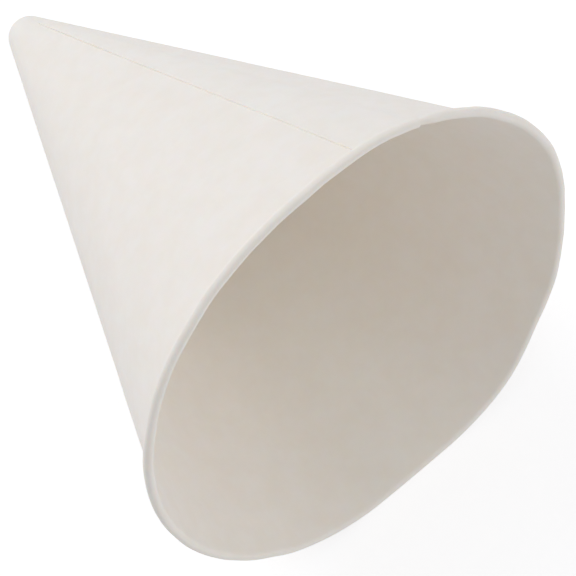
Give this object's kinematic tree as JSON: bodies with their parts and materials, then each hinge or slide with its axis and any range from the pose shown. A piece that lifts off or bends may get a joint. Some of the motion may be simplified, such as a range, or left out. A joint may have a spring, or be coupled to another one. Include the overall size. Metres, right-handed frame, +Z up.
{
  "type": "paper funnel",
  "caption": "Plain white paper cone cup used as a funnel: one wrapped and glued sheet with a closed rounded tip and a thin rolled rim, lying on its side.",
  "frame": {"origin": "on the table, under the middle of the cup's bounding box as it lies on its side", "axes": "+Z up, +X from the closed tip to the open mouth along the table, +Y to the cup's side"},
  "size_m": [0.0928, 0.0732, 0.0668],
  "materials": {
    "paper": "matt uncoated white paper"
  },
  "bodies": {
    "root": {"paper_cone": "paper"}
  },
  "joints": []
}
